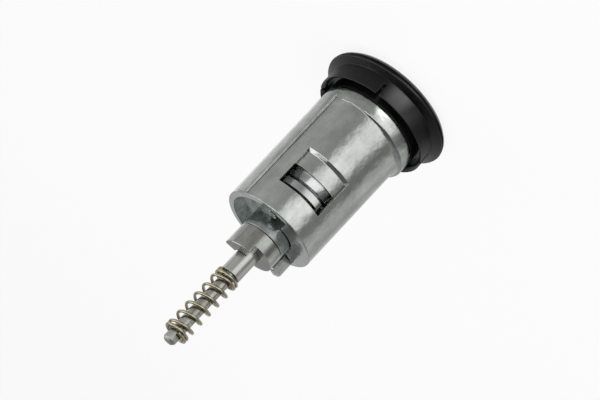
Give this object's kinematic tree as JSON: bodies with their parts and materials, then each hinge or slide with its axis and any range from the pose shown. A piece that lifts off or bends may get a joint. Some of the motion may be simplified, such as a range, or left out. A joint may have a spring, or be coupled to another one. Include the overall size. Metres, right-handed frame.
{
  "type": "ignition lock cylinder",
  "caption": "Ignition lock cylinder: die-cast barrel with black plastic bezel, keyed rotor, tail driver and a stepped push rod carrying a coil spring.",
  "frame": {"origin": "on the lock axis at the front face of the bezel, which the part stands on", "axes": "+Z along the lock axis from the key side to the push rod; -Y faces the window side; +X is the side with the long rib"},
  "size_m": [0.035, 0.035, 0.0819],
  "materials": {
    "zinc": "satin die-cast zinc",
    "bright_zinc": "bright die-cast zinc",
    "steel": "machined",
    "spring_steel": "drawn wire",
    "yellow_steel": "yellow passivated wire",
    "brass": "stamped",
    "black_plastic": "satin"
  },
  "bodies": {
    "barrel": {"housing": "zinc", "bezel": "black_plastic", "stop_pin": "steel"},
    "rotor": {"rotor": "bright_zinc", "rotor_cap": "steel", "stop_cam": "bright_zinc", "driver": "zinc", "driver_pin": "steel", "shutter_pin": "steel", "wafer_spring_1": "spring_steel", "wafer_spring_2": "spring_steel", "wafer_spring_3": "spring_steel", "wafer_spring_4": "spring_steel", "wafer_spring_5": "spring_steel", "wafer_spring_6": "spring_steel"},
    "push_rod": {"rod": "steel", "rod_spring": "yellow_steel"},
    "shutter": {"shutter": "steel", "shutter_spring": "spring_steel"},
    "wafer_1": {"wafer_1": "brass"},
    "wafer_2": {"wafer_2": "brass"},
    "wafer_3": {"wafer_3": "brass"},
    "wafer_4": {"wafer_4": "brass"},
    "wafer_5": {"wafer_5": "brass"},
    "wafer_6": {"wafer_6": "brass"}
  },
  "joints": [
    {"name": "key_turn", "type": "hinge", "parent": "barrel", "child": "rotor", "pos_m": [0, 0, 0.03], "axis": [0, 0, 1], "range_deg": [0, 115]},
    {"name": "rod_push", "type": "slide", "parent": "rotor", "child": "push_rod", "axis": [0, 0, 1], "range_m": [0, 0.003]},
    {"name": "shutter_swing", "type": "hinge", "parent": "rotor", "child": "shutter", "pos_m": [0, 0.0033, 0.0037], "axis": [-1, 0, 0], "range_deg": [0, 75], "stiffness_Nm_per_rad": 0.0004, "springref_deg": -20.05},
    {"name": "wafer_1_slide", "type": "slide", "parent": "rotor", "child": "wafer_1", "axis": [-1, 0, 0], "range_m": [0, 0.0007], "stiffness_N_per_m": 60, "springref_m": -0.002, "deforming": ["wafer_spring_1"]},
    {"name": "wafer_2_slide", "type": "slide", "parent": "rotor", "child": "wafer_2", "axis": [1, 0, 0], "range_m": [0, 0.0007], "stiffness_N_per_m": 60, "springref_m": -0.002, "deforming": ["wafer_spring_2"]},
    {"name": "wafer_3_slide", "type": "slide", "parent": "rotor", "child": "wafer_3", "axis": [-1, 0, 0], "range_m": [0, 0.0007], "stiffness_N_per_m": 60, "springref_m": -0.002, "deforming": ["wafer_spring_3"]},
    {"name": "wafer_4_slide", "type": "slide", "parent": "rotor", "child": "wafer_4", "axis": [1, 0, 0], "range_m": [0, 0.0007], "stiffness_N_per_m": 60, "springref_m": -0.002, "deforming": ["wafer_spring_4"]},
    {"name": "wafer_5_slide", "type": "slide", "parent": "rotor", "child": "wafer_5", "axis": [-1, 0, 0], "range_m": [0, 0.0007], "stiffness_N_per_m": 60, "springref_m": -0.002, "deforming": ["wafer_spring_5"]},
    {"name": "wafer_6_slide", "type": "slide", "parent": "rotor", "child": "wafer_6", "axis": [1, 0, 0], "range_m": [0, 0.0007], "stiffness_N_per_m": 60, "springref_m": -0.002, "deforming": ["wafer_spring_6"]}
  ],
  "couplings": [
    {"joint": "wafer_2_slide", "follows": "wafer_1_slide", "ratio": 1},
    {"joint": "wafer_3_slide", "follows": "wafer_1_slide", "ratio": 1},
    {"joint": "wafer_4_slide", "follows": "wafer_1_slide", "ratio": 1},
    {"joint": "wafer_5_slide", "follows": "wafer_1_slide", "ratio": 1},
    {"joint": "wafer_6_slide", "follows": "wafer_1_slide", "ratio": 1}
  ]
}
